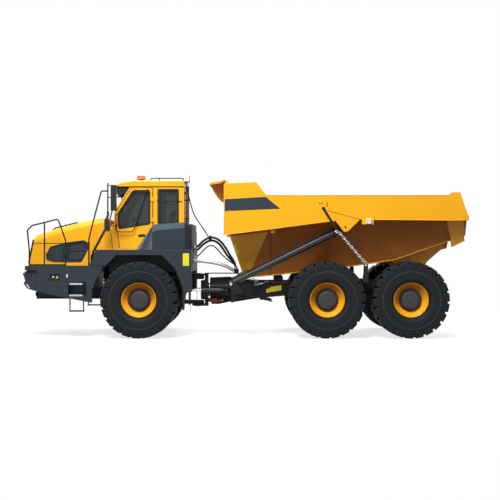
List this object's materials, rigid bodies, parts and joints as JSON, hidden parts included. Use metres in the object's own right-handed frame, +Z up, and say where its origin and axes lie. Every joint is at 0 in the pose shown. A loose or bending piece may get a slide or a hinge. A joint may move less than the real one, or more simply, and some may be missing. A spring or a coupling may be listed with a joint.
{
  "type": "articulated dump truck",
  "caption": "Articulated hauler with a cab and engine on two front wheels, a swinging steering joint, and a tipping dump body on a rear bogie.",
  "frame": {"origin": "ground under the middle of the machine's bounding box", "axes": "-X to the front, +Y to the side away from the driver's door, +Z up"},
  "size_m": [10.14, 2.99, 3.749],
  "materials": {
    "yellow_paint": "semi-gloss enamel on the cab, hood, rims and dump body",
    "grey_panel": "dark grey painted panels of the bumper and tank housings",
    "chassis_black": "black chassis paint",
    "engine_grey": "plain engine block",
    "glass": "tinted cab glass",
    "seat_fabric": "seat cover",
    "black_plastic": "moulded black plastic",
    "rail_black": "black painted round tube",
    "step_metal": "bare checkered treads",
    "lamp_lens": "lamp lenses",
    "exhaust_metal": "heat-browned exhaust pipe",
    "chromed_rod": "chromed cylinder rods",
    "tyre_rubber": "off-road tyre rubber",
    "hose_rubber": "covered hydraulic hose",
    "chain_steel": "galvanised chain"
  },
  "bodies": {
    "rear_chassis": {"rear_frame": "chassis_black", "chain_brackets": "chassis_black", "bogie": "chassis_black"},
    "hitch": {"hitch": "chassis_black"},
    "front_chassis": {"front_frame": "chassis_black", "front_axle": "chassis_black", "front_suspension": "chassis_black", "engine_block": "engine_grey", "radiator": "chassis_black", "front_bumper": "grey_panel", "skirts": "grey_panel", "walkways": "chassis_black", "fenders": "grey_panel", "tank_housings": "grey_panel", "rear_bulkhead": "grey_panel", "cab_base": "yellow_paint", "cab_frame": "yellow_paint", "cab_roof": "yellow_paint", "cab_glass": "glass", "seat": "seat_fabric", "steering_console": "black_plastic", "handrails": "rail_black", "ladders": "step_metal", "mirrors": "black_plastic", "lamps": "lamp_lens", "exhaust_stack": "exhaust_metal", "drive_shaft": "chassis_black", "hoses": "hose_rubber"},
    "hood": {"hood_shell": "yellow_paint", "hood_grilles": "black_plastic"},
    "cab_door": {"cab_door": "yellow_paint", "door_glass": "glass"},
    "dump_body": {"dump_headboard": "yellow_paint", "dump_floor": "yellow_paint", "dump_hull_sides": "yellow_paint", "dump_side_panels": "yellow_paint", "spill_guard": "yellow_paint", "dump_tail_frame": "yellow_paint", "body_chain": "chain_steel"},
    "steer_barrel_left": {"steer_barrel_left": "chassis_black"},
    "steer_rod_left": {"steer_rod_left": "chromed_rod"},
    "tip_barrel_left": {"tip_barrel_left": "chassis_black"},
    "tip_rod_left": {"tip_rod_left": "chromed_rod"},
    "steer_barrel_right": {"steer_barrel_right": "chassis_black"},
    "steer_rod_right": {"steer_rod_right": "chromed_rod"},
    "tip_barrel_right": {"tip_barrel_right": "chassis_black"},
    "tip_rod_right": {"tip_rod_right": "chromed_rod"},
    "wheel_front_left": {"tyre_front_left": "tyre_rubber", "rim_front_left": "yellow_paint"},
    "wheel_front_right": {"tyre_front_right": "tyre_rubber", "rim_front_right": "yellow_paint"},
    "wheel_middle_left": {"tyre_middle_left": "tyre_rubber", "rim_middle_left": "yellow_paint"},
    "wheel_middle_right": {"tyre_middle_right": "tyre_rubber", "rim_middle_right": "yellow_paint"},
    "wheel_rear_left": {"tyre_rear_left": "tyre_rubber", "rim_rear_left": "yellow_paint"},
    "wheel_rear_right": {"tyre_rear_right": "tyre_rubber", "rim_rear_right": "yellow_paint"}
  },
  "joints": [
    {"name": "oscillation", "type": "hinge", "parent": "rear_chassis", "child": "hitch", "pos_m": [-0.6, 0, 1.05], "axis": [1, 0, 0], "range_deg": [-12, 12]},
    {"name": "steering", "type": "hinge", "parent": "hitch", "child": "front_chassis", "pos_m": [-1.13, 0, 1.05], "axis": [0, 0, 1], "range_deg": [-45, 45]},
    {"name": "hood_tilt", "type": "hinge", "parent": "front_chassis", "child": "hood", "pos_m": [-3.33, 0, 2.65], "axis": [0, 1, 0], "range_deg": [0, 50]},
    {"name": "cab_door_swing", "type": "hinge", "parent": "front_chassis", "child": "cab_door", "pos_m": [-2.112, -0.812, 2.7], "axis": [0, 0, 1], "range_deg": [0, 85]},
    {"name": "dump_tilt", "type": "hinge", "parent": "rear_chassis", "child": "dump_body", "pos_m": [4, 0, 1.45], "axis": [0, 1, 0], "range_deg": [0, 65]},
    {"name": "steer_barrel_left_swing", "type": "hinge", "parent": "hitch", "child": "steer_barrel_left", "pos_m": [-0.43, -0.33, 1.05], "axis": [0, 0, 1], "range_deg": [-14, 14]},
    {"name": "steer_rod_left_stroke", "type": "slide", "parent": "steer_barrel_left", "child": "steer_rod_left", "axis": [-1, 0, 0], "range_m": [-0.26, 0.26]},
    {"name": "tip_barrel_left_swing", "type": "hinge", "parent": "rear_chassis", "child": "tip_barrel_left", "pos_m": [-0.31, -1.185, 1.233], "axis": [0, 1, 0], "range_deg": [-2, 2]},
    {"name": "tip_rod_left_stroke", "type": "slide", "parent": "tip_barrel_left", "child": "tip_rod_left", "axis": [0.8969, 0, 0.4423], "range_m": [0, 2.24]},
    {"name": "steer_barrel_right_swing", "type": "hinge", "parent": "hitch", "child": "steer_barrel_right", "pos_m": [-0.43, 0.33, 1.05], "axis": [0, 0, 1], "range_deg": [-14, 14]},
    {"name": "steer_rod_right_stroke", "type": "slide", "parent": "steer_barrel_right", "child": "steer_rod_right", "axis": [-1, 0, 0], "range_m": [-0.26, 0.26]},
    {"name": "tip_barrel_right_swing", "type": "hinge", "parent": "rear_chassis", "child": "tip_barrel_right", "pos_m": [-0.31, 1.185, 1.233], "axis": [0, 1, 0], "range_deg": [-2, 2]},
    {"name": "tip_rod_right_stroke", "type": "slide", "parent": "tip_barrel_right", "child": "tip_rod_right", "axis": [0.8969, 0, 0.4423], "range_m": [0, 2.24]},
    {"name": "wheel_front_left_roll", "type": "hinge", "parent": "front_chassis", "child": "wheel_front_left", "pos_m": [-2.385, -1.1625, 0.87], "axis": [0, 1, 0], "continuous": true},
    {"name": "wheel_front_right_roll", "type": "hinge", "parent": "front_chassis", "child": "wheel_front_right", "pos_m": [-2.385, 1.1625, 0.87], "axis": [0, 1, 0], "continuous": true},
    {"name": "wheel_middle_left_roll", "type": "hinge", "parent": "rear_chassis", "child": "wheel_middle_left", "pos_m": [1.865, -1.1625, 0.87], "axis": [0, 1, 0], "continuous": true},
    {"name": "wheel_middle_right_roll", "type": "hinge", "parent": "rear_chassis", "child": "wheel_middle_right", "pos_m": [1.865, 1.1625, 0.87], "axis": [0, 1, 0], "continuous": true},
    {"name": "wheel_rear_left_roll", "type": "hinge", "parent": "rear_chassis", "child": "wheel_rear_left", "pos_m": [3.755, -1.1625, 0.87], "axis": [0, 1, 0], "continuous": true},
    {"name": "wheel_rear_right_roll", "type": "hinge", "parent": "rear_chassis", "child": "wheel_rear_right", "pos_m": [3.755, 1.1625, 0.87], "axis": [0, 1, 0], "continuous": true}
  ],
  "couplings": [
    {"joint": "steer_barrel_left_swing", "follows": "steering", "ratio": 0.298},
    {"joint": "steer_rod_left_stroke", "follows": "steering", "m_per_rad": -0.3179},
    {"joint": "tip_barrel_left_swing", "follows": "dump_tilt", "ratio": -0.01477},
    {"joint": "tip_rod_left_stroke", "follows": "dump_tilt", "m_per_rad": 1.9701},
    {"joint": "steer_barrel_right_swing", "follows": "steering", "ratio": 0.298},
    {"joint": "steer_rod_right_stroke", "follows": "steering", "m_per_rad": 0.3179},
    {"joint": "tip_barrel_right_swing", "follows": "dump_tilt", "ratio": -0.01477},
    {"joint": "tip_rod_right_stroke", "follows": "dump_tilt", "m_per_rad": 1.9701}
  ]
}
